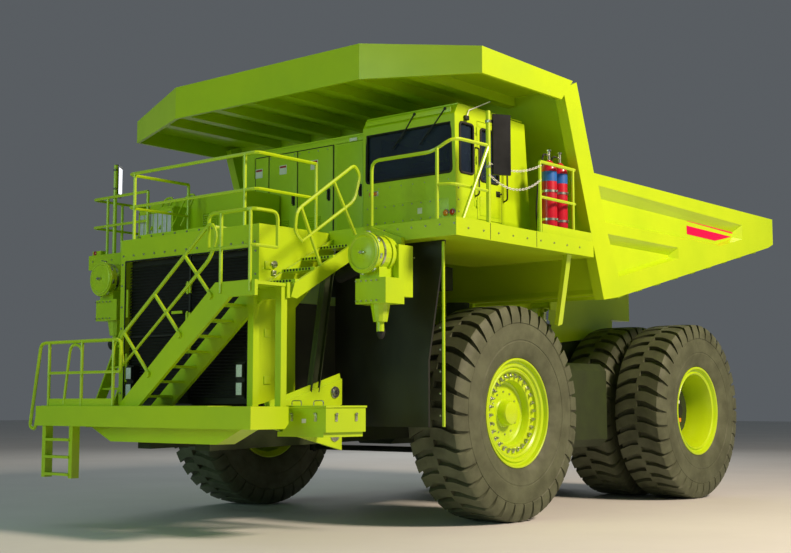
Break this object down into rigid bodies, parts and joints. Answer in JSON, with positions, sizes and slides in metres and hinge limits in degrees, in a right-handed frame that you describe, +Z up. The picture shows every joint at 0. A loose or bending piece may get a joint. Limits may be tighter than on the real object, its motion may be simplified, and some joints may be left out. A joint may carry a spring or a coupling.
{
  "type": "mining dump truck",
  "caption": "Rigid mining dump truck with a side cab, front stair and platform, sheltering canopy, tipping body, telescopic hoists, steered front wheels and twin rear wheels.",
  "frame": {"origin": "on the ground in the middle of the truck's footprint (bounding box), on the truck's centre plane to within the mirror's overhang", "axes": "+Z up, +Y towards the tail of the truck, +X towards its left side, where the cab stands; the truck faces -Y"},
  "size_m": [7.2573, 11.76, 6.506],
  "materials": {
    "lime_paint": "gloss",
    "black_paint": "satin",
    "dark_steel": "satin",
    "tyre": "matte",
    "chrome": "gloss",
    "glass": "gloss",
    "red_paint": "gloss",
    "seat_fabric": "matte"
  },
  "bodies": {
    "chassis": {"chassis_frame": "lime_paint", "front_bumper": "lime_paint", "bumper_handrail": "lime_paint", "front_stair": "lime_paint", "upper_stair": "lime_paint", "right_stair": "lime_paint", "radiator_housing": "lime_paint", "left_deck": "lime_paint", "centre_deck": "lime_paint", "right_deck": "lime_paint", "front_deck_handrail": "lime_paint", "cab_shell": "lime_paint", "control_cabinet": "lime_paint", "air_cleaner_left": "lime_paint", "air_cleaner_right": "lime_paint", "battery_box": "lime_paint", "fuel_tank": "lime_paint", "front_axle": "lime_paint", "rear_axle": "lime_paint", "radiator_core": "black_paint", "mudguard_left": "black_paint", "mudguard_right": "black_paint", "mirror_left": "black_paint", "mirror_right": "black_paint", "steering_wheel": "black_paint", "engine": "dark_steel", "hydraulic_tank": "dark_steel", "windscreen": "glass", "corner_window": "glass", "operator_seat": "seat_fabric", "fire_bottles": "red_paint"},
    "front_wheel_left": {"front_tyre_left": "tyre", "front_rim_left": "lime_paint"},
    "front_wheel_right": {"front_tyre_right": "tyre", "front_rim_right": "lime_paint"},
    "rear_wheels_left": {"rear_tyre_outer_left": "tyre", "rear_tyre_inner_left": "tyre", "rear_rims_left": "lime_paint"},
    "rear_wheels_right": {"rear_tyre_outer_right": "tyre", "rear_tyre_inner_right": "tyre", "rear_rims_right": "lime_paint"},
    "steering_knuckle_left": {"knuckle_left": "dark_steel"},
    "steering_knuckle_right": {"knuckle_right": "dark_steel"},
    "steering_tie_rod": {"tie_rod": "dark_steel"},
    "tipping_body": {"dump_body": "lime_paint"},
    "driver_door": {"cab_door": "lime_paint"},
    "cabinet_hatch": {"cabinet_door": "lime_paint"},
    "battery_hatch": {"battery_lid": "lime_paint"},
    "hoist_outer_left": {"hoist_barrel_left": "lime_paint"},
    "hoist_middle_left": {"hoist_stage_left": "chrome"},
    "hoist_inner_left": {"hoist_rod_left": "chrome"},
    "hoist_outer_right": {"hoist_barrel_right": "lime_paint"},
    "hoist_middle_right": {"hoist_stage_right": "chrome"},
    "hoist_inner_right": {"hoist_rod_right": "chrome"}
  },
  "joints": [
    {"name": "steer_left", "type": "hinge", "parent": "chassis", "child": "steering_knuckle_left", "pos_m": [1.8, -1.38, 1.52], "axis": [0, 0, 1], "range_deg": [-32, 32]},
    {"name": "front_wheel_left_spin", "type": "hinge", "parent": "steering_knuckle_left", "child": "front_wheel_left", "pos_m": [2.47, -1.38, 1.52], "axis": [1, 0, 0], "continuous": true},
    {"name": "rear_wheels_left_spin", "type": "hinge", "parent": "chassis", "child": "rear_wheels_left", "pos_m": [1.79, 4.37, 1.52], "axis": [1, 0, 0], "continuous": true},
    {"name": "steer_right", "type": "hinge", "parent": "chassis", "child": "steering_knuckle_right", "pos_m": [-1.8, -1.38, 1.52], "axis": [0, 0, 1], "range_deg": [-32, 32]},
    {"name": "front_wheel_right_spin", "type": "hinge", "parent": "steering_knuckle_right", "child": "front_wheel_right", "pos_m": [-2.47, -1.38, 1.52], "axis": [1, 0, 0], "continuous": true},
    {"name": "rear_wheels_right_spin", "type": "hinge", "parent": "chassis", "child": "rear_wheels_right", "pos_m": [-1.79, 4.37, 1.52], "axis": [1, 0, 0], "continuous": true},
    {"name": "tie_rod_pin", "type": "hinge", "parent": "steering_knuckle_left", "child": "steering_tie_rod", "pos_m": [1.8, -0.63, 0.93], "axis": [0, 0, 1], "range_deg": [-32, 32]},
    {"name": "body_tilt", "type": "hinge", "parent": "chassis", "child": "tipping_body", "pos_m": [0, 5.17, 2.74], "axis": [-1, 0, 0], "range_deg": [0, 45]},
    {"name": "hoist_left_tilt", "type": "hinge", "parent": "chassis", "child": "hoist_outer_left", "pos_m": [0.93, 1.92, 1.5], "axis": [-1, 0, 0], "range_deg": [0, 14.29]},
    {"name": "hoist_left_middle_slide", "type": "slide", "parent": "hoist_outer_left", "child": "hoist_middle_left", "axis": [0, 0.1609, 0.987], "range_m": [0, 1.1142]},
    {"name": "hoist_left_inner_slide", "type": "slide", "parent": "hoist_middle_left", "child": "hoist_inner_left", "axis": [0, 0.1609, 0.987], "range_m": [0, 1.1142]},
    {"name": "hoist_right_tilt", "type": "hinge", "parent": "chassis", "child": "hoist_outer_right", "pos_m": [-0.93, 1.92, 1.5], "axis": [-1, 0, 0], "range_deg": [0, 14.29]},
    {"name": "hoist_right_middle_slide", "type": "slide", "parent": "hoist_outer_right", "child": "hoist_middle_right", "axis": [0, 0.1609, 0.987], "range_m": [0, 1.1142]},
    {"name": "hoist_right_inner_slide", "type": "slide", "parent": "hoist_middle_right", "child": "hoist_inner_right", "axis": [0, 0.1609, 0.987], "range_m": [0, 1.1142]},
    {"name": "cab_door_hinge", "type": "hinge", "parent": "chassis", "child": "driver_door", "pos_m": [2.955, -2.452, 4.78], "axis": [0, 0, -1], "range_deg": [0, 80]},
    {"name": "cabinet_door_hinge", "type": "hinge", "parent": "chassis", "child": "cabinet_hatch", "pos_m": [0.653, -2.792, 4.7], "axis": [0, 0, -1], "range_deg": [0, 100]},
    {"name": "battery_lid_hinge", "type": "hinge", "parent": "chassis", "child": "battery_hatch", "pos_m": [1.858, -4.71, 1.63], "axis": [0, -1, 0], "range_deg": [0, 85]}
  ],
  "couplings": [
    {"joint": "steer_right", "follows": "steer_left", "ratio": 1},
    {"joint": "tie_rod_pin", "follows": "steer_left", "ratio": -1},
    {"joint": "hoist_left_tilt", "follows": "body_tilt", "ratio": 0.3043},
    {"joint": "hoist_left_middle_slide", "follows": "body_tilt", "m_per_rad": 1.4059},
    {"joint": "hoist_left_inner_slide", "follows": "body_tilt", "m_per_rad": 1.4059},
    {"joint": "hoist_right_tilt", "follows": "body_tilt", "ratio": 0.3043},
    {"joint": "hoist_right_middle_slide", "follows": "body_tilt", "m_per_rad": 1.4059},
    {"joint": "hoist_right_inner_slide", "follows": "body_tilt", "m_per_rad": 1.4059}
  ]
}
